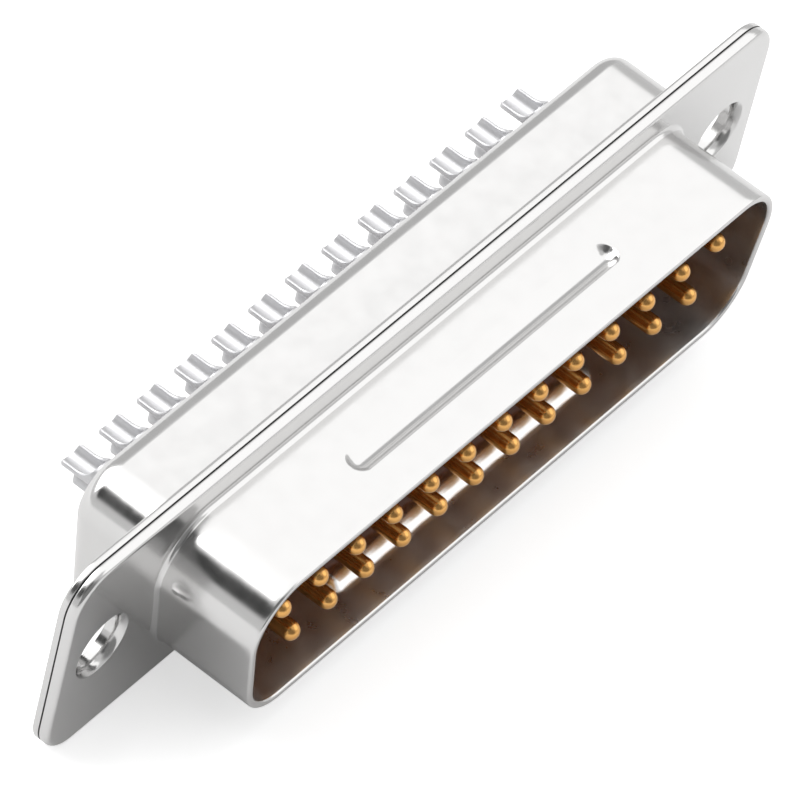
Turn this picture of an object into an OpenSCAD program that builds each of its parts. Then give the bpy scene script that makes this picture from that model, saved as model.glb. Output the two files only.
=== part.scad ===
// 25-way D-sub plug with solder cups, in millimetres.
// X runs along the connector, Z points to the long row, and the mating side faces -Y.
// The origin is the middle of the plane where the two flanges meet.

/* [Layout] */
// Contacts in the long row; the short row has one less
long_row = 13; // [8:1:19]
// Distance between contacts in a row
pitch = 2.77; // [2.6:0.01:2.9]
// Distance between the two rows
row_spacing = 2.84; // [2.6:0.02:3.1]
// From the last contact of the long row to the skirt's widest point inside
skirt_end = 2.86; // [2.5:0.02:3.4]
// From the middle of a row to the skirt's long wall inside
skirt_side = 2.76; // [2.4:0.02:3.2]
// How much further out than the skirt's inside the tub's ends are
tub_end = 1.17; // [1:0.01:1.4]
// How much further out than the skirt's inside the tub's long walls are
tub_side = 1.18; // [1:0.01:1.4]
// From the skirt's widest point inside to a screw hole
hole_room = 4.04; // [3.7:0.02:5]
// From a screw hole to the flange's end
ear_end = 3; // [2.6:0.02:6]
// How much further out than the skirt's inside the flange's long edges are
flange_side = 2.02; // [1.8:0.02:4]

/* [Flange] */
// Radius of the flange corners
flange_corner_r = 2.2; // [0.8:0.1:4]
// Rollover on the flanges' outer edges
flange_edge_r = 0.14; // [0.06:0.02:0.2]
// Sheet thickness of the front flange
front_sheet = 0.55; // [0.45:0.05:1]
// Sheet thickness of the rear flange
rear_sheet = 0.42; // [0.35:0.01:1]
// Diameter of the screw holes
hole_d = 3.1; // [2.4:0.05:3.6]
// How far the front of each hole flares out
hole_flare = 0.3; // [0.1:0.02:0.3]

/* [Skirt] */
// Inside radius of the skirt's corners
skirt_corner_r = 2.6; // [1.6:0.1:3.6]
// Slant of both D ends from the upright
side_slant = 10; // [4:1:14]
// Depth of the skirt in front of the flange
skirt_depth = 5.8; // [5:0.05:8]
// Wall of the drawn skirt
skirt_wall = 0.4; // [0.3:0.02:0.5]
// Rounding of the skirt's rim
rim_r = 0.14; // [0.06:0.02:0.14]
// Outside radius where the skirt leaves the flange
skirt_root_r = 0.7; // [0.3:0.05:0.8]
// Radius behind that bend
skirt_bend_r = 0.4; // [0.2:0.05:0.45]

/* [Stiffening grooves] */
// From the skirt's widest point inside to an end of the groove pressed into both long walls
groove_end = 9.53; // [5:0.01:11]
// Width of the groove at the outside surface
groove_width = 1.3; // [0.8:0.05:1.6]
// Depth of the groove
groove_depth = 0.36; // [0.2:0.02:0.5]
// Distance from the flange to the middle of the groove
groove_offset = 3; // [2.2:0.05:3.6]

/* [Tub] */
// Outside radius of the tub's corners
tub_corner_r = 2.4; // [1.9:0.1:3.4]
// Depth of the tub behind the rear flange
tub_depth = 4.03; // [3.6:0.05:8]
// Wall of the drawn tub
tub_wall = 0.4; // [0.3:0.02:0.5]
// Rounding of the tub's rear edge
tub_edge_r = 1; // [0.7:0.05:1.2]
// Outside radius where the tub leaves the flange
tub_root_r = 0.35; // [0.15:0.05:0.5]
// Width of the tub's rear rim around its opening
tub_rim = 1.7; // [1.4:0.05:2]

/* [Insulators] */
// How far the front insulator stands in front of the flange face
insulator_rise = 0.3; // [0:0.05:0.8]
// How far the rear insulator stands out of the tub
boss_rise = 0.2; // [0.1:0.05:0.4]
// Thickness of the front insulator behind the front flange
front_clamp = 1.9; // [1.2:0.05:2.4]
// Gap between an insulator and the shell around it
insulator_gap = 0.08; // [0.04:0.01:0.15]

/* [Contacts] */
// Diameter of the pins
pin_d = 1.02; // [0.7:0.02:1.2]
// How far the pin tips stay below the rim
pin_recess = 0.45; // [0.3:0.05:1.5]
// Diameter of the collar that holds a contact
collar_d = 2.1; // [1.8:0.02:2.2]
// Length of the collar
collar_length = 1.1; // [0.6:0.05:1.4]
// Outside diameter of the barrel and its solder cup
cup_d = 1.6; // [1.3:0.02:1.7]
// Diameter of the solder cup's bore
cup_bore_d = 1.16; // [0.8:0.02:1.2]
// Depth of the solder cup's bore
cup_bore_depth = 2.1; // [1.6:0.05:2.6]
// How far the cups stand behind the tub
cup_reach = 3.2; // [2.8:0.05:6]
// Length of the cup's low, level lip
cup_lip = 1; // [0.6:0.05:1.4]
// Depth of that lip below the contact's axis
cup_lip_drop = 0.18; // [0:0.02:0.3]
// Radius of the ramp that rises from the lip
cup_ramp_r = 1.1; // [0.9:0.05:1.4]
// Gap between a contact and its holes
contact_gap = 0.02; // [0.01:0.01:0.05]

/* [Hidden] */
short_row = long_row - 1;
contact_names = [for (i = [1 : long_row + short_row]) str("contact_", i < 10 ? "0" : "", i)];

$fn = 48;
past = 0.5; // how far a cutter runs past the face that it opens
corner_steps = 10; // chords round each corner of a drawn wall
bend_steps = 5; // chords round each bend of its section

// Half sizes that follow the rows of contacts
row_half = (long_row - 1) / 2 * pitch;
skirt_x = row_half + skirt_end;
skirt_z = row_spacing / 2 + skirt_side;
hole_x = skirt_x + hole_room;
groove_x = skirt_x - groove_end;

// Outlines as [half width, half height, corner radius, slant of the ends]
flange_form = [hole_x + ear_end, skirt_z + flange_side, flange_corner_r, 0];
skirt_form = [skirt_x, skirt_z, skirt_corner_r, side_slant];
tub_form = grown([skirt_x + tub_end, skirt_z + tub_side, tub_corner_r, side_slant], -tub_wall);
boss_form = grown(tub_form, tub_wall - tub_rim - insulator_gap);

// Levels along the mating axis, from the flange's front face
flange_joint = -front_sheet;
flange_back = flange_joint - rear_sheet;
tub_back = flange_back - tub_depth;
tub_floor = tub_back + tub_wall;
insulator_joint = flange_joint - front_clamp;
pin_tip = skirt_depth - pin_recess;
cup_end = tub_back - cup_reach;

// Sphere-ended groove: radius of its section, and its axis above the wall
groove_r = (pow(groove_width / 2, 2) + pow(groove_depth, 2)) / (2 * groove_depth);
groove_axis = skirt_z + skirt_wall + groove_r - groove_depth;

// The same outline, moved out all round by d
function grown(form, d) = [form[0] + d, form[1] + d, form[2] + d, form[3]];

// To the nearest micron
function micron(v) = round(v * 1000) / 1000;

// Centres of the four corner arcs, clockwise from the upper left
function centres(form) =
    let (x = micron(form[0] - form[2]), y = micron(form[1] - form[2]), low = micron(x - 2 * y * tan(form[3])))
    [[-x, y], [x, y], [low, -y], [-low, -y]];

// Outward direction of side i, from one centre to the next
function normal(c, i) = let (step = c[(i + 1) % 4] - c[i]) atan2(step[1], step[0]) + 90;

function along(angle, length) = length * [cos(angle), sin(angle)];

// Points on an arc, as the chords of a bend
function arc(centre, r, from, to) = [for (k = [0:bend_steps]) centre + along(from + (to - from) * k / bend_steps, r)];

// Stations along an outline, clockwise: the corner centre and the direction out of it
function stations(form) = let (c = centres(form)) [
    for (i = [0:3], k = [0:corner_steps])
        let (start = normal(c, (i + 3) % 4), turn = (start - normal(c, i) + 360) % 360)
        [c[i], start - turn * k / corner_steps]
];

// The outline's points
function ring(form) = [for (s = stations(form)) s[0] + along(s[1], form[2])];

// Place of contact i, counted from 0
function contact_at(i) = i < long_row
    ? [i * pitch - row_half, row_spacing / 2]
    : [(i - long_row - (short_row - 1) / 2) * pitch, -row_spacing / 2];

// Turns the working frame, with its Z to the mating side, into the part's frame
module placed() {
    translate([0, -front_sheet, 0]) rotate([90, 0, 0]) children();
}

// The moulded shape of an outline
module outline(form) {
    c = centres(form);
    polygon([for (i = [0:3], k = [i, (i + 1) % 4]) c[k] + along(normal(c, i), form[2])]);
    for (p = c) translate(p) circle(r = form[2]);
}

// A moulded block of that shape between two levels
module block(form, from, to) {
    translate([0, 0, from]) linear_extrude(to - from) outline(form);
}

// Solid between levels whose outline moves in and out: the section's X is the distance outside it, its Y the level
module stack(form, section) {
    path = stations(form);
    m = len(path);
    n = len(section);
    polyhedron(
        points = [for (p = section, s = path)
            let (q = s[0] + along(s[1], form[2] + p[0])) [q[0], q[1], p[1]]],
        faces = concat(
            [[for (s = [m - 1 : -1 : 0]) s], [for (s = [0 : m - 1]) (n - 1) * m + s]],
            [for (j = [0 : n - 2], s = [0 : m - 1]) let (t = (s + 1) % m)
                [j * m + s, j * m + t, (j + 1) * m + t, (j + 1) * m + s]])
    );
}

// A flange with its screw holes still closed, open inside where the drawn wall starts
module flange_plate(section, opening) {
    difference() {
        stack(flange_form, section);
        stack(opening, [[0, section[0][1] - past], [0, section[len(section) - 1][1] + past]]);
    }
}

// Both screw holes: straight through the rear flange, then flared to the front face
module screw_holes() {
    flare_r = (pow(hole_flare, 2) + pow(front_sheet, 2)) / (2 * hole_flare);
    for (side = [-1, 1]) translate([side * hole_x, 0, 0]) rotate_extrude() {
        translate([0, flange_back - past]) square([hole_d / 2, 2 * past - flange_back]);
        difference() {
            translate([0, flange_joint]) square([hole_d / 2 + flare_r, front_sheet + past]);
            translate([hole_d / 2 + flare_r, flange_joint]) circle(r = flare_r);
        }
    }
}

// Sweeps a section round an outline: the section's X is the distance outside it, its Y the level
module drawn(form, section) {
    path = stations(form);
    n = len(section);
    polyhedron(
        points = [for (s = path, p = section)
            let (q = s[0] + along(s[1], form[2] + p[0])) [q[0], q[1], p[1]]],
        faces = [for (s = [0 : len(path) - 1], j = [0 : n - 1])
            let (here = s * n, next = (s + 1) % len(path) * n, k = (j + 1) % n)
            [here + j, next + j, next + k, here + k]]
    );
}

// Section of the drawn skirt: the root fillet, the rim and the bend into the flange
function skirt_section() = concat(
    [[skirt_wall + skirt_root_r, flange_joint]],
    arc([skirt_wall + skirt_root_r, skirt_root_r], skirt_root_r, 270, 180),
    arc([skirt_wall - rim_r, skirt_depth - rim_r], rim_r, 0, 90),
    arc([rim_r, skirt_depth - rim_r], rim_r, 90, 180),
    arc([skirt_bend_r, flange_joint + skirt_bend_r], skirt_bend_r, 180, 270)
);

// Section of the drawn tub: the bend out of the flange, the rear rim, the rounded rear edge and the root fillet
function tub_section() = concat(
    [[tub_wall + tub_root_r, flange_joint]],
    arc([tub_root_r, flange_joint - tub_root_r], tub_root_r, 90, 180),
    arc([tub_wall - tub_edge_r, tub_back + tub_edge_r], tub_edge_r - tub_wall, 0, -90),
    [[tub_wall - tub_rim, tub_floor], [tub_wall - tub_rim, tub_back]],
    arc([tub_wall - tub_edge_r, tub_back + tub_edge_r], tub_edge_r, -90, 0),
    arc([tub_wall + tub_root_r, flange_back - tub_root_r], tub_root_r, 180, 90)
);

// A bar with round ends along the groove's axis, on the upper wall
module groove_bar(r) {
    length = 2 * groove_x - groove_width;
    translate([-length / 2, groove_axis, groove_offset]) rotate([0, 90, 0]) rotate_extrude() {
        square([r, length]);
        for (end = [0, length]) intersection() {
            translate([0, end]) circle(r = r);
            translate([0, end - r]) square([r, 2 * r]);
        }
    }
}

// Its match on the upper and the lower wall
module groove_bars(r) {
    for (side = [0, 1]) mirror([0, side, 0]) groove_bar(r);
}

module front_shell() {
    color([0.84, 0.84, 0.86]) placed() difference() {
        union() {
            flange_plate(concat([[0, flange_joint]], arc([-flange_edge_r, -flange_edge_r], flange_edge_r, 0, 90)),
                grown(skirt_form, skirt_wall + skirt_root_r));
            drawn(skirt_form, skirt_section());
            // The grooves show inside as ribs of the same sheet
            intersection() {
                groove_bars(groove_r + skirt_wall);
                translate([0, 0, skirt_depth / 2])
                    cube([2 * skirt_x, 2 * skirt_z + skirt_wall, skirt_depth], center = true);
            }
        }
        groove_bars(groove_r);
        screw_holes();
    }
}

module rear_shell() {
    color([0.8, 0.8, 0.82]) placed() difference() {
        union() {
            flange_plate(concat(arc([-flange_edge_r, flange_back + flange_edge_r], flange_edge_r, -90, 0), [[0, flange_joint]]),
                grown(tub_form, tub_wall + tub_root_r));
            drawn(tub_form, tub_section());
        }
        screw_holes();
    }
}

// Puts a copy at every contact; the short row is turned so that its cups open away from the long row
module at_contacts() {
    for (i = [0 : long_row + short_row - 1]) at_contact(i) children();
}

module at_contact(i) {
    translate(contact_at(i)) rotate([0, 0, i < long_row ? 0 : 180]) children();
}

// The room for one contact: the pin, the collar and the barrel
module contact_room(from, to) {
    intersection() {
        rotate_extrude() contact_steps(contact_gap);
        translate([-collar_d, -collar_d, from]) cube([2 * collar_d, 2 * collar_d, to - from]);
    }
}

// Half section of a contact's three diameters, each widened by gap
module contact_steps(gap) {
    translate([0, insulator_joint]) square([pin_d / 2 + gap, pin_tip - pin_d / 2 - insulator_joint]);
    translate([0, insulator_joint - collar_length / 2]) square([collar_d / 2 + gap, collar_length]);
    translate([0, cup_end]) square([cup_d / 2 + gap, insulator_joint - cup_end]);
}

module front_insulator() {
    color([0.22, 0.13, 0.1]) placed() difference() {
        union() {
            block(grown(skirt_form, -insulator_gap), flange_joint, insulator_rise);
            block(grown(tub_form, -insulator_gap), insulator_joint, flange_joint);
        }
        at_contacts() contact_room(insulator_joint - past, insulator_rise + past);
    }
}

module rear_insulator() {
    color([0.22, 0.13, 0.1]) placed() difference() {
        union() {
            block(grown(tub_form, -insulator_gap), tub_back + tub_edge_r, insulator_joint);
            block(grown(tub_form, tub_wall - tub_edge_r - insulator_gap), tub_floor, tub_back + tub_edge_r);
            block(boss_form, tub_back - boss_rise, tub_floor);
        }
        at_contacts() contact_room(tub_back - boss_rise - past, insulator_joint + past);
    }
}

// What is cut away above the solder cup: a level lip and the ramp that rises from it
module cup_scoop() {
    translate([-cup_d, 0, cup_end]) rotate([90, 0, 90]) linear_extrude(2 * cup_d)
        translate([-cup_lip_drop, 0]) {
            translate([0, -past]) square([cup_d, cup_lip + past]);
            translate([cup_ramp_r, cup_lip]) circle(r = cup_ramp_r);
        }
}

module contact(i) {
    color([0.83, 0.62, 0.27]) placed() at_contact(i) difference() {
        rotate_extrude() {
            contact_steps(0);
            intersection() {
                translate([0, pin_tip - pin_d / 2]) circle(d = pin_d);
                translate([0, pin_tip - pin_d]) square([pin_d, pin_d]);
            }
        }
        translate([0, 0, cup_end - past]) cylinder(d = cup_bore_d, h = cup_bore_depth + past);
        cup_scoop();
    }
}

front_shell();
rear_shell();
front_insulator();
rear_insulator();
for (i = [0 : len(contact_names) - 1])
    contact(i);
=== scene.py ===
"""Looks of the D-sub plug: plated shells, brown insulators, gold pins with tinned cups, stage and camera. Metres."""
import math

import bpy
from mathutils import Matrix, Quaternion, Vector
from mathutils.geometry import tessellate_polygon


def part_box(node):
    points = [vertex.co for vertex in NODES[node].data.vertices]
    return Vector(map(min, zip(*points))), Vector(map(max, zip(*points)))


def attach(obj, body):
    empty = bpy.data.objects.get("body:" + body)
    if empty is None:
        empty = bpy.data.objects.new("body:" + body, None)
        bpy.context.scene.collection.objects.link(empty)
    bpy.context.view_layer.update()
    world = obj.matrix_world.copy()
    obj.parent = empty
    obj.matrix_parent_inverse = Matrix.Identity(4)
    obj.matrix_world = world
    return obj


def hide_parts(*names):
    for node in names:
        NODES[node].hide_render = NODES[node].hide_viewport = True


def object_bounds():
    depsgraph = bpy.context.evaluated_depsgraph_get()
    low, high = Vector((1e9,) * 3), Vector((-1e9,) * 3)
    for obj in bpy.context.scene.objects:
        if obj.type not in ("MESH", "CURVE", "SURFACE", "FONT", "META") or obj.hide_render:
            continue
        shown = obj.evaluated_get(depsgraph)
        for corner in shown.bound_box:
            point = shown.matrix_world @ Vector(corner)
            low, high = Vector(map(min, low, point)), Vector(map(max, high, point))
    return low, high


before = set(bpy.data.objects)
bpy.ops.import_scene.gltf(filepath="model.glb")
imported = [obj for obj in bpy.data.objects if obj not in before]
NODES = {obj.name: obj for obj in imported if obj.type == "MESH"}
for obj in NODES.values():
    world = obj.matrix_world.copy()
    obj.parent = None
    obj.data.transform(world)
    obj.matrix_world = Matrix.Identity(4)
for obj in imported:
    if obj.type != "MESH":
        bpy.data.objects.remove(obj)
CAD_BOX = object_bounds()
MM = 0.001

# Camera: it aims beside the middle of the flange's front face, from far away with a long lens
AIM = Vector((-0.96, -0.34, -0.67)) * MM
DISTANCE = 516.8 * MM
AZIMUTH, ELEVATION, ROLL = -61.88, 48.18, 14.59
LENS = 490.3
ROOM, BOX = 0.74, 1.45  # brightness of the room and of the lights in it
# Places in the room: direction, cosines where it starts and where it is full, brightness
PLACES = (
    ((0.62, 0.03, 0.78), 0.900, 0.930, BOX),  # overhead to the right, seen in the tops
    ((0.05, 0.31, 0.95), 0.880, 0.930, BOX),  # straight above
    ((0.62, -0.55, 0.56), 0.900, 0.940, BOX),  # front right, seen in the groove's far flank
    ((0.60, 0.77, 0.25), 0.860, 0.920, 0.62),  # behind, seen in the tub's rear edge
    ((-0.76, 0.31, 0.57), 0.945, 0.985, 0.05),  # dark corner, seen in the skirt's left corner
    ((-0.59, -0.31, 0.75), 0.880, 0.950, 0.12),  # towards the camera, seen in the pin tips
    ((-0.50, -0.80, 0.30), 0.700, 0.900, 0.25),  # below the camera
)
KEY_FROM, KEY_DISTANCE, KEY_SIZE, KEY_POWER = (-0.2, 0.72, 0.66), 0.6, 0.56, 2.8
FLOOR_GLOW = (("Is Camera Ray", 0.56), ("Is Glossy Ray", 0.05))


# ---------------------------------------------------------------- node helpers
def new_material(name):
    """A material with its node tree emptied down to one Principled shader."""
    material = bpy.data.materials.new(name)
    material.use_nodes = True
    tree = material.node_tree
    return material, tree, tree.nodes["Principled BSDF"]


def add(tree, kind, **values):
    """A node of that kind, with its properties and its inputs set by name."""
    node = tree.nodes.new(kind)
    for key, value in values.items():
        if hasattr(node, key):
            setattr(node, key, value)
        else:
            node.inputs[key.replace("_", " ")].default_value = value
    return node


def object_coordinates(tree):
    return add(tree, "ShaderNodeTexCoord").outputs["Object"]


def noise(tree, scale, detail=2.0, stretch=None):
    """Noise with that many cells to the metre, stretched along the axes if asked."""
    vector = object_coordinates(tree)
    if stretch:
        mapping = add(tree, "ShaderNodeMapping")
        mapping.inputs["Scale"].default_value = stretch
        tree.links.new(vector, mapping.inputs["Vector"])
        vector = mapping.outputs["Vector"]
    node = add(tree, "ShaderNodeTexNoise", Scale=scale, Detail=detail)
    tree.links.new(vector, node.inputs["Vector"])
    return node.outputs["Fac"]


def remap(tree, value, low, high):
    """Spreads the middle of a noise, from 0.3 to 0.7, over low to high."""
    node = add(tree, "ShaderNodeMapRange")
    for key, number in zip(("From Min", "From Max", "To Min", "To Max"), (0.3, 0.7, low, high)):
        node.inputs[key].default_value = number
    tree.links.new(value, node.inputs["Value"])
    return node.outputs["Result"]


def bump(tree, shader, heights):
    """Chains bumps of (height output, depth in metres) into the shader's normal."""
    normal = None
    for height, depth in heights:
        node = add(tree, "ShaderNodeBump")
        node.inputs["Strength"].default_value = 1.0
        node.inputs["Distance"].default_value = depth
        tree.links.new(height, node.inputs["Height"])
        if normal:
            tree.links.new(normal, node.inputs["Normal"])
        normal = node.outputs["Normal"]
    tree.links.new(normal, shader.inputs["Normal"])


# ------------------------------------------------------------------- materials
def nickel_plate(name, smoothest, roughest, tone=1.0, grain_depth=0.0004):
    """Nickel on drawn sheet, with the sheet's slow waves and a fine grain."""
    material, tree, shader = new_material(name)
    # tone lightens or darkens the nickel's colour: the rib's copy is a painted highlight, the seam's a painted shade
    shader.inputs["Base Color"].default_value = (0.67 * tone, 0.665 * tone, 0.66 * tone, 1)
    shader.inputs["Metallic"].default_value = 1.0
    tree.links.new(remap(tree, noise(tree, 900, 4), smoothest, roughest), shader.inputs["Roughness"])
    waves = noise(tree, 260, 1)
    grain = noise(tree, 9000, 3)
    bump(tree, shader, [(waves, 0.02 * MM), (grain, grain_depth * MM)])
    return material


def moulded_plastic():
    """Dark brown moulding compound with a fine matte skin."""
    material, tree, shader = new_material("insulator")
    shader.inputs["Base Color"].default_value = (0.2, 0.095, 0.07, 1)
    tree.links.new(remap(tree, noise(tree, 2500, 4), 0.45, 0.6), shader.inputs["Roughness"])
    bump(tree, shader, [(noise(tree, 12000, 3), 0.002 * MM)])
    return material


def contact_plate(split):
    """Gold on the mating side of the level split, bright tin on the solder cups behind it."""
    material, tree, shader = new_material("contact_gold")
    separate = add(tree, "ShaderNodeSeparateXYZ")
    tree.links.new(object_coordinates(tree), separate.inputs["Vector"])
    behind = add(tree, "ShaderNodeMath", operation="GREATER_THAN")
    behind.inputs[1].default_value = split
    tree.links.new(separate.outputs["Y"], behind.inputs[0])
    colour = add(tree, "ShaderNodeMix", data_type="RGBA")
    colour.inputs["A"].default_value = (0.82, 0.44, 0.14, 1)
    colour.inputs["B"].default_value = (0.6, 0.6, 0.61, 1)
    tree.links.new(behind.outputs[0], colour.inputs["Factor"])
    tree.links.new(colour.outputs["Result"], shader.inputs["Base Color"])
    shader.inputs["Metallic"].default_value = 1.0
    rough = add(tree, "ShaderNodeMath", operation="MULTIPLY_ADD")
    tree.links.new(behind.outputs[0], rough.inputs[0])
    rough.inputs[1].default_value = 0.22
    tree.links.new(remap(tree, noise(tree, 3000, 3), 0.2, 0.26), rough.inputs[2])
    tree.links.new(rough.outputs[0], shader.inputs["Roughness"])
    bump(tree, shader, [(noise(tree, 9000, 2), 0.0008 * MM)])
    return material


# ---------------------------------------------------------- shells, drawn smoothly
# Sizes of the two shells in mm, as the part's source has them;
# ROOT, EDGE and SEAM are the scene's own, closer to the photo
SHEET, REAR_SHEET, WALL = 0.55, 0.42, 0.4
SKIRT = (19.48, 4.18, 2.6)
TUB = (20.25, 4.96, 2.0)
FLANGE = (26.52, 6.2, 2.2)
SLANT = math.radians(10)
HOLE_X, HOLE_R, FLARE, EDGE, REAR_EDGE, SEAM = 23.52, 1.55, 0.3, 0.28, 0.14, 0.09
DEPTH, RIM, ROOT, BEND = 5.8, 0.14, 0.3, 0.4
TUB_BACK, TUB_EDGE, TUB_ROOT, TUB_RIM = -5.0, 1.0, 0.35, 1.7
GROOVE_HALF, GROOVE_WIDTH, GROOVE_DEPTH, GROOVE_LEVEL = 9.3, 1.3, 0.36, 3.0
GROOVE_R = (GROOVE_WIDTH ** 2 / 4 + GROOVE_DEPTH ** 2) / (2 * GROOVE_DEPTH)
CORNER_STEPS = 24
SHARP = 24  # degrees between faces from which an edge is sharp
GROOVE_STEP = 0.04  # distance between points where the groove is
WALL_STEP = 0.3  # and elsewhere on the wall
GROOVE_REACH = 1.1  # beyond this from its axis the groove leaves the wall flat
EXTRA_MARKS = [-16, -13.5, 13.5, 16, -11.5, 11.5]
PLATED, INSIDE, RIB, PAINTED_SEAM_SHADE = range(4)  # materials of a shell's faces: plain, rougher inside, rib with painted highlight, seam with painted shade


def arc(x, y, r, start, end, steps=8):
    """Points of an arc from one angle to another, in degrees."""
    angles = [math.radians(start + (end - start) * k / steps) for k in range(steps + 1)]
    return [(x + r * math.cos(t), y + r * math.sin(t)) for t in angles]


def wall_levels(out, start, end):
    """Points of a straight wall between two levels, close together where the groove crosses it."""
    near = [GROOVE_LEVEL + GROOVE_STEP * k for k in range(-24, 25)]
    far = [WALL_STEP * k for k in range(20)]
    levels = near + [level for level in far if abs(level - GROOVE_LEVEL) > GROOVE_REACH]
    low, high = min(start, end) + 0.05, max(start, end) - 0.05
    return [(out, level) for level in sorted(levels, reverse=start > end) if low < level < high]


def stations(form, slant=0.0, marks=()):
    """Places round a rounded outline, clockwise: the foot on its skeleton, the angle out of it, and its long side.

    marks are places along both long sides where the outline is divided more.
    """
    half_x, half_z, r = form
    x, z = half_x - r, half_z - r
    low = x - 2 * z * math.tan(slant)
    corners = [(-x, z), (x, z), (low, -z), (-low, -z)]
    out = []
    for i, corner in enumerate(corners):
        before, after = corners[i - 1], corners[(i + 1) % 4]
        start = math.atan2(corner[1] - before[1], corner[0] - before[0]) + math.pi / 2
        end = math.atan2(after[1] - corner[1], after[0] - corner[0]) + math.pi / 2
        turn = (start - end) % math.tau
        out += [(corner, start - turn * k / CORNER_STEPS, 0) for k in range(CORNER_STEPS + 1)]
        if i % 2 == 0:
            inside = [m for m in marks if abs(m) < min(abs(corner[0]), abs(after[0])) - 0.1]
            ordered = sorted(inside, reverse=corner[0] > after[0])
            out += [((m, corner[1]), end, 1 - i) for m in ordered]
    return out


class Shell:
    """A mesh made of rings of points in the working frame: X, Z and the level towards the mating side."""

    def __init__(self):
        self.points, self.faces = [], []
        self.flats, self.flat_faces, self.finishes = {}, [], {}

    def ring(self, places):
        first = len(self.points)
        self.points += places
        return list(range(first, len(self.points)))

    def outline(self, path, out, level):
        """The ring of an outline, which is a corner radius and its stations, moved out that far."""
        corner_r, places = path
        reach = out + corner_r
        return self.ring([
            (foot[0] + reach * math.cos(turn), foot[1] + reach * math.sin(turn), level)
            for foot, turn, _ in places])

    def circle(self, x, r, level, count=64):
        return self.ring([
            (x + r * math.cos(math.tau * k / count), r * math.sin(-math.tau * k / count), level)
            for k in range(count)])

    def bridge(self, rings):
        """Quads from each ring to the next."""
        for low, high in zip(rings, rings[1:]):
            for k in range(len(low)):
                n = (k + 1) % len(low)
                self.faces.append((low[k], high[k], high[n], low[n]))

    def plate(self, rings, towards):
        """A flat face inside the first ring and outside the others, facing up or down in level."""
        loops = [[Vector(self.points[k]) for k in ring] for ring in rings]
        flat = [k for ring in rings for k in ring]
        faces = [[flat[k] for k in tri] for tri in tessellate_polygon(loops)]
        area = sum((self.points[b][0] - self.points[a][0]) * (self.points[c][1] - self.points[a][1])
                   - (self.points[b][1] - self.points[a][1]) * (self.points[c][0] - self.points[a][0])
                   for a, b, c in faces)
        self.flats.update(dict.fromkeys(flat, towards))
        self.flat_faces.append((len(self.faces), len(self.faces) + len(faces), towards))
        self.faces += faces if area * towards > 0 else [face[::-1] for face in faces]

    def finish(self, name, materials):
        """The object in the row frame, smooth but for its sharp edges, with true normals on its flat faces."""
        mesh = bpy.data.meshes.new(name)
        mesh.from_pydata([(x * MM, (-level - SHEET) * MM, z * MM) for x, z, level in self.points], [], self.faces)
        mesh.shade_smooth()
        mesh.set_sharp_from_angle(angle=math.radians(SHARP))
        for material in materials:
            mesh.materials.append(material)
        for face, finish in self.finishes.items():
            mesh.polygons[face].material_index = finish
        normals = [Vector(corner.vector) for corner in mesh.corner_normals]
        flat_of = {}
        for first, last, towards in self.flat_faces:
            flat_of.update(dict.fromkeys(range(first, last), towards))
        for face in mesh.polygons:
            for corner in face.loop_indices:
                towards = flat_of.get(face.index) or self.flats.get(mesh.loops[corner].vertex_index)
                if towards:
                    flat = Vector((0, -towards, 0))
                    if face.index in flat_of or face.normal.dot(flat) > math.cos(math.radians(SHARP)):
                        normals[corner] = flat
        mesh.normals_split_custom_set(normals)
        piece = bpy.data.objects.new(name, mesh)
        bpy.context.scene.collection.objects.link(piece)
        return piece


def soft_max(a, b, blend):
    """The larger of two numbers, with the corner between them rounded."""
    near = max(blend - abs(a - b), 0) / blend
    return max(a, b) + near * near * blend / 4


def pressed(x, level, r):
    """How deep the pressed groove is there, for a ball of radius r that rolls along its axis."""
    along = max(abs(x) - GROOVE_HALF, 0)
    s = math.hypot(along, level - GROOVE_LEVEL)
    rise = math.sqrt(max(r * r - s * s, 0)) - (r - GROOVE_DEPTH)
    return soft_max(rise, 0, 0.2)


def flange(shell, front, back, front_opening, back_opening, flare, rolled_front):
    """A flange's two faces, rolled outer edge and screw holes, between the rings of its drawn wall."""
    path = (FLANGE[2], stations(FLANGE))
    roll, ease = (EDGE, SEAM) if rolled_front else (SEAM, REAR_EDGE)
    top = arc(-roll, front - roll, roll, 90, 0, 6)
    bottom = arc(-ease, back + ease, ease, 0, -90, 6)
    rim = [shell.outline(path, *p) for p in top + bottom]
    first = len(shell.faces)
    shell.bridge(rim[::-1])
    # rolled-edge faces next to the joint between the two sheets get dark nickel: painted shade in the crease
    for k in range(first, len(shell.faces)):
        if all(abs(shell.points[c][2] + SHEET) < 0.6 * SEAM for c in shell.faces[k]):
            shell.finishes[k] = PAINTED_SEAM_SHADE
    holes = []
    for x in (-HOLE_X, HOLE_X):
        if flare:
            r = (FLARE ** 2 + SHEET ** 2) / (2 * FLARE)
            end = 180 - math.degrees(math.asin(SHEET / r))
            wall = arc(HOLE_R + r, back, r, end, 180, 10)
        else:
            wall = [(HOLE_R, front), (HOLE_R, back)]
        circles = [shell.circle(x, *p) for p in wall]
        shell.bridge(circles)
        holes.append(circles)
    shell.plate([rim[0], front_opening] + [h[0] for h in holes], 1)
    shell.plate([rim[-1], back_opening] + [h[-1] for h in holes], -1)


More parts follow.
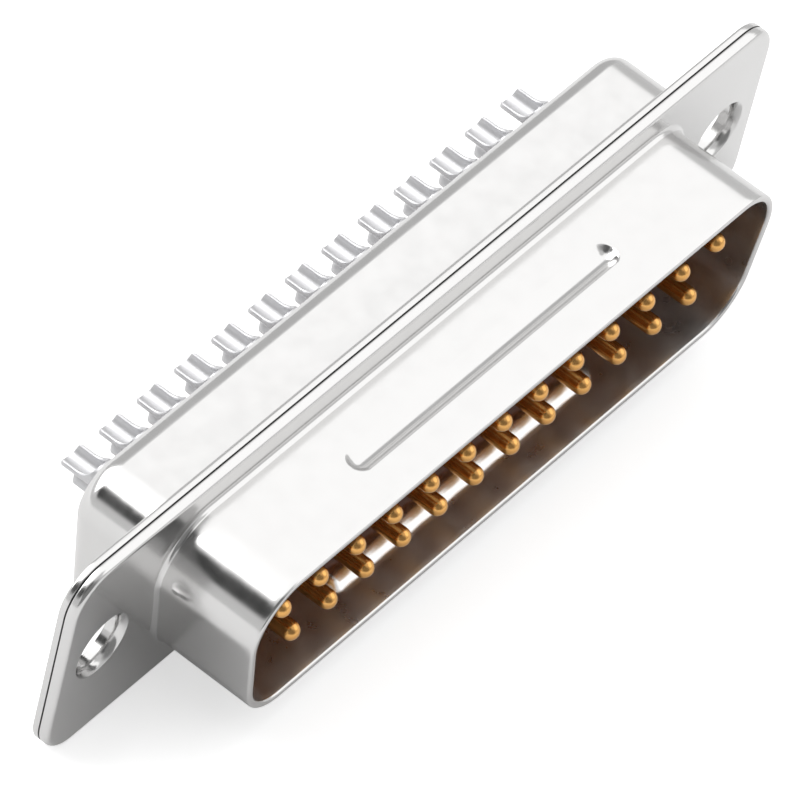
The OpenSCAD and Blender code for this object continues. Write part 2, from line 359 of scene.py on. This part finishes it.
def smooth_front_shell(materials):
    shell = Shell()
    near = [GROOVE_HALF + GROOVE_STEP * k for k in range(-6, 27)]
    marks = [m * side for m in near for side in (-1, 1)] + [2.0 * k for k in range(-4, 5)]
    form = stations(SKIRT, SLANT, marks + EXTRA_MARKS)
    outside = arc(WALL + ROOT, ROOT, ROOT, 270, 180, 14)
    outside += wall_levels(WALL, outside[-1][1], DEPTH - RIM)
    rim = arc(WALL - RIM, DEPTH - RIM, RIM, 0, 90, 6) + arc(RIM, DEPTH - RIM, RIM, 90, 180, 6)
    bend = arc(BEND, BEND - SHEET, BEND, 180, 270, 8)
    inside = wall_levels(0.0, rim[-1][1], bend[0][1]) + bend
    rings = []
    for k, (out, level) in enumerate(outside + rim + inside):
        ball = GROOVE_R if k < len(outside) else GROOVE_R + WALL
        places = []
        for foot, turn, side in form:
            reach = SKIRT[2] + out
            if side and min(abs(out), abs(out - WALL)) < 1e-6:
                reach -= pressed(foot[0], level, ball)
            places.append((foot[0] + reach * math.cos(turn), foot[1] + reach * math.sin(turn), level))
        rings.append(shell.ring(places))
    shell.bridge(rings[:len(outside) + len(rim)])
    first = len(shell.faces)
    shell.bridge(rings[len(outside) + len(rim) - 1:])
    for k in range(first, len(shell.faces)):
        corners = [shell.points[c] for c in shell.faces[k]]
        on_rib = all(abs(z) < SKIRT[1] - 0.02 and abs(x) < GROOVE_HALF + 1 and 0 < level < DEPTH - 1
                     for x, z, level in corners)
        # the rib's faces get lighter nickel, a painted highlight; the rest of the inside gets a rougher nickel
        shell.finishes[k] = RIB if on_rib else INSIDE
    flange(shell, 0.0, -SHEET, rings[0], rings[-1], True, True)
    return shell.finish("front_shell_plated", materials)


def smooth_rear_shell(materials):
    shell = Shell()
    path = (TUB[2], stations(TUB, SLANT))
    back = -SHEET - REAR_SHEET
    inside = arc(TUB_ROOT, -SHEET - TUB_ROOT, TUB_ROOT, 90, 180)
    inside += arc(WALL - TUB_EDGE, TUB_BACK + TUB_EDGE, TUB_EDGE - WALL, 0, -90)
    opening = [(WALL - TUB_RIM, TUB_BACK + WALL), (WALL - TUB_RIM, TUB_BACK)]
    outside = arc(WALL - TUB_EDGE, TUB_BACK + TUB_EDGE, TUB_EDGE, -90, 0, 16)
    outside += arc(WALL + TUB_ROOT, back - TUB_ROOT, TUB_ROOT, 180, 90, 10)
    section = [(WALL + TUB_ROOT, -SHEET)] + inside + opening + outside
    rings = [shell.outline(path, *p) for p in section]
    shell.bridge(rings)
    flange(shell, -SHEET, back, rings[0], rings[-1], False, False)
    return shell.finish("rear_shell_plated", materials)


# --------------------------------------------------------- contacts, drawn smoothly
# Sizes of a contact in mm, as the part's source has them, but for LIP_DROP and the rounded end of the cup
PITCH, ROW_HEIGHT, LONG_ROW = 2.77, 1.42, 13
PIN_R, PIN_TIP = 0.51, 5.35
COLLAR_R, COLLAR_HALF, JOINT = 1.05, 0.55, -SHEET - 1.9
BARREL_R, BORE_R, BORE_END, CUP_END = 0.8, 0.58, -6.1, -8.2
LIP_DROP, LIP_END, RAMP_R, LIP_ROUND, LIP_EASE = 0.03, -7.2, 1.1, 0.45, 0.07
ROUND_STEPS, RIM_STEPS, CLOSED = 28, 6, 75


def trough(rise, wall):
    """Round a trough's section: its outside, right rim, inside and left rim, which end at the angle rise."""
    middle = (BARREL_R + BORE_R) / 2
    x, z = middle * math.cos(math.radians(rise)), middle * math.sin(math.radians(rise))
    outside = arc(0, 0, middle + wall, 180 - rise, 360 + rise, ROUND_STEPS)
    right = arc(x, z, wall, rise, rise + 180, RIM_STEPS)[1:-1]
    inside = arc(0, 0, middle - wall, 360 + rise, 180 - rise, ROUND_STEPS)
    left = arc(-x, z, wall, -rise, 180 - rise, RIM_STEPS)[1:-1]
    return outside + right + inside + left


def full_round(r):
    """Round a solid section, with as many points as a trough's."""
    outside = arc(0, 0, r, 180 - CLOSED, 360 + CLOSED, ROUND_STEPS)
    return outside + arc(0, 0, r, CLOSED, 180 - CLOSED, ROUND_STEPS + 2 * RIM_STEPS)[1:-1]


def smooth_contact(material):
    """A turned contact along the level axis: a scooped cup with a rounded end, a barrel, a collar and a pin."""
    shell = Shell()
    half_wall = (BARREL_R - BORE_R) / 2
    middle = (BARREL_R + BORE_R) / 2
    rings = []

    def section(points, level, back=0.0):
        rings.append(shell.ring([
            (x, z, level + back * LIP_ROUND * (1 - math.sqrt(max(1 - (x / BARREL_R) ** 2, 0)))) for x, z in points]))

    lip = math.degrees(math.asin((-LIP_DROP - half_wall) / middle))
    for turn in (0, 45, 90):
        sine, cosine = math.sin(math.radians(turn)), math.cos(math.radians(turn))
        section(trough(lip, half_wall - LIP_EASE * (1 - sine)), CUP_END + LIP_EASE * (1 - cosine), 1)
    for k in range(1, 6):
        start = CUP_END + LIP_EASE
        section(trough(lip, half_wall), start + (LIP_END - start) * k / 5, 1 - k / 5)
    highest = middle * math.sin(math.radians(CLOSED)) + half_wall
    last = math.degrees(math.acos(1 - (highest + LIP_DROP) / RAMP_R))
    for k in range(1, 17):
        turn = math.radians(last * k / 16)
        height = RAMP_R * (1 - math.cos(turn)) - LIP_DROP
        rise = math.degrees(math.asin((height - half_wall) / middle))
        section(trough(rise, half_wall), LIP_END + RAMP_R * math.sin(turn))
    profile = [(BARREL_R, BORE_END), (BARREL_R, JOINT - COLLAR_HALF), (COLLAR_R, JOINT - COLLAR_HALF),
               (COLLAR_R, JOINT + COLLAR_HALF), (PIN_R, JOINT + COLLAR_HALF)]
    profile += arc(0, PIN_TIP - PIN_R, PIN_R, 0, 84, 10)
    for r, level in profile:
        section(full_round(r), level)
    shell.bridge(rings[::-1])
    end, count = rings[0], len(rings[0])
    opposite = 2 * ROUND_STEPS + RIM_STEPS
    for k in range(ROUND_STEPS):
        shell.faces.append((end[opposite - k], end[opposite - k - 1], end[k + 1], end[k]))
    for first, past in ((ROUND_STEPS, ROUND_STEPS + RIM_STEPS), (opposite, opposite + RIM_STEPS)):
        shell.faces.append(tuple(end[k % count] for k in range(past, first - 1, -1)))
    shell.faces.append(tuple(rings[-1]))
    return shell.finish("contact_plated", [material])


def place_contacts(material):
    """The 25 contacts share one mesh; those of the short row are turned over."""
    first = smooth_contact(material)
    for i in range(2 * LONG_ROW - 1):
        wide = i < LONG_ROW
        place = i - (LONG_ROW - 1) / 2 if wide else i - LONG_ROW - (LONG_ROW - 2) / 2
        name = f"contact_{i + 1:02d}"
        if i == 0:
            piece = first
            piece.name = name + "_plated"
        else:
            piece = bpy.data.objects.new(name + "_plated", first.data)
            bpy.context.scene.collection.objects.link(piece)
        piece.location = (place * PITCH * MM, 0, (ROW_HEIGHT if wide else -ROW_HEIGHT) * MM)
        piece.rotation_euler = (0, 0 if wide else math.pi, 0)
        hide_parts(name)
        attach(piece, "root")


# --------------------------------------------------------------------- dressing
def dress():
    nickel = nickel_plate("nickel_plate", 0.13, 0.21)
    dull = nickel_plate("nickel_plate_inside", 0.26, 0.36, 1.0, 0.0)
    # lighter nickel on the rib: a painted highlight, with a smoother surface as well
    rib_painted_highlight = nickel_plate("nickel_plate_rib_painted_highlight", 0.2, 0.24, 1.15, 0.0)
    # nickel darkened to 0.15 in the seam between the two sheets: painted shade
    seam_painted_shade = nickel_plate("nickel_plate_seam_painted_shade", 0.4, 0.5, 0.15)
    for name, build in (("front_shell", smooth_front_shell), ("rear_shell", smooth_rear_shell)):
        piece = build([nickel, dull, rib_painted_highlight, seam_painted_shade])  # in the order plain, inside, rib with painted highlight, seam with painted shade
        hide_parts(name)
        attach(piece, "root")
    finishes = {
        "shell": nickel,
        "insulator": moulded_plastic(),
        "contact": contact_plate(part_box("rear_shell")[0].y),
    }
    for name, node in NODES.items():
        kind = next(word for word in finishes if word in name)
        node.data.materials.clear()
        node.data.materials.append(finishes[kind])
    place_contacts(finishes["contact"])


# ------------------------------------------------------------------------ stage
def plain_floor():
    """A white floor that keeps the shadow: seen directly or in the metal, it glows up to white."""
    low = CAD_BOX[0].z
    half = 1.5
    mesh = bpy.data.meshes.new("floor")
    corners = [(x * half, y * half, low) for x, y in ((-1, -1), (1, -1), (1, 1), (-1, 1))]
    mesh.from_pydata(corners, [], [(0, 1, 2, 3)])
    floor = bpy.data.objects.new("floor", mesh)
    bpy.context.scene.collection.objects.link(floor)
    material, tree, shader = new_material("floor")
    shader.inputs["Base Color"].default_value = (0.8, 0.8, 0.8, 1)
    shader.inputs["Roughness"].default_value = 0.9
    path = add(tree, "ShaderNodeLightPath")
    glow = None
    for ray, level in FLOOR_GLOW:
        part = add(tree, "ShaderNodeMath", operation="MULTIPLY_ADD")
        tree.links.new(path.outputs[ray], part.inputs[0])
        part.inputs[1].default_value = level
        part.inputs[2].default_value = 0
        if glow:
            tree.links.new(glow.outputs[0], part.inputs[2])
        glow = part
    shader.inputs["Emission Color"].default_value = (1, 1, 1, 1)
    tree.links.new(glow.outputs[0], shader.inputs["Emission Strength"])
    mesh.materials.append(material)


def studio_world():
    """A pale grey room with broad white lights and dark corners, each a place painted over the ones before."""
    world = bpy.data.worlds.new("studio")
    bpy.context.scene.world = world
    world.use_nodes = True
    tree = world.node_tree
    background = tree.nodes["Background"]
    towards = add(tree, "ShaderNodeTexCoord").outputs["Generated"]
    strength = None
    for direction, edge, full, level in PLACES:
        dot = add(tree, "ShaderNodeVectorMath", operation="DOT_PRODUCT")
        dot.inputs[1].default_value = Vector(direction).normalized()
        tree.links.new(towards, dot.inputs[0])
        lobe = add(tree, "ShaderNodeMapRange", interpolation_type="SMOOTHSTEP")
        lobe.inputs["From Min"].default_value = edge
        lobe.inputs["From Max"].default_value = full
        tree.links.new(dot.outputs["Value"], lobe.inputs["Value"])
        mix = add(tree, "ShaderNodeMix", data_type="FLOAT")
        mix.inputs["A"].default_value = ROOM
        mix.inputs["B"].default_value = level
        tree.links.new(lobe.outputs["Result"], mix.inputs["Factor"])
        if strength:
            tree.links.new(strength, mix.inputs["A"])
        strength = mix.outputs["Result"]
    background.inputs["Color"].default_value = (1, 1, 1, 1)
    tree.links.new(strength, background.inputs["Strength"])


def softbox(name, direction, distance, size, power):
    """A square area lamp that looks at the part from that direction."""
    lamp = bpy.data.lights.new(name, "AREA")
    lamp.size = size
    lamp.energy = power
    box = bpy.data.objects.new(name, lamp)
    towards = Vector(direction).normalized()
    box.location = towards * distance
    box.rotation_mode = "QUATERNION"
    box.rotation_quaternion = towards.to_track_quat("Z", "Y")
    bpy.context.scene.collection.objects.link(box)


def camera():
    lens = bpy.data.cameras.new("camera")
    lens.lens = LENS
    view = bpy.data.objects.new("camera", lens)
    azimuth, elevation = math.radians(AZIMUTH), math.radians(ELEVATION)
    flat = math.cos(elevation)
    back = Vector((math.sin(azimuth) * flat, -math.cos(azimuth) * flat, math.sin(elevation)))
    view.location = AIM + back * DISTANCE
    view.rotation_mode = "QUATERNION"
    view.rotation_quaternion = back.to_track_quat("Z", "Y") @ Quaternion((0, 0, 1), math.radians(ROLL))
    bpy.context.scene.collection.objects.link(view)
    bpy.context.scene.camera = view


camera()
dress()
plain_floor()
studio_world()
softbox("key", KEY_FROM, KEY_DISTANCE, KEY_SIZE, KEY_POWER)
bpy.context.scene.view_settings.view_transform = "Standard"
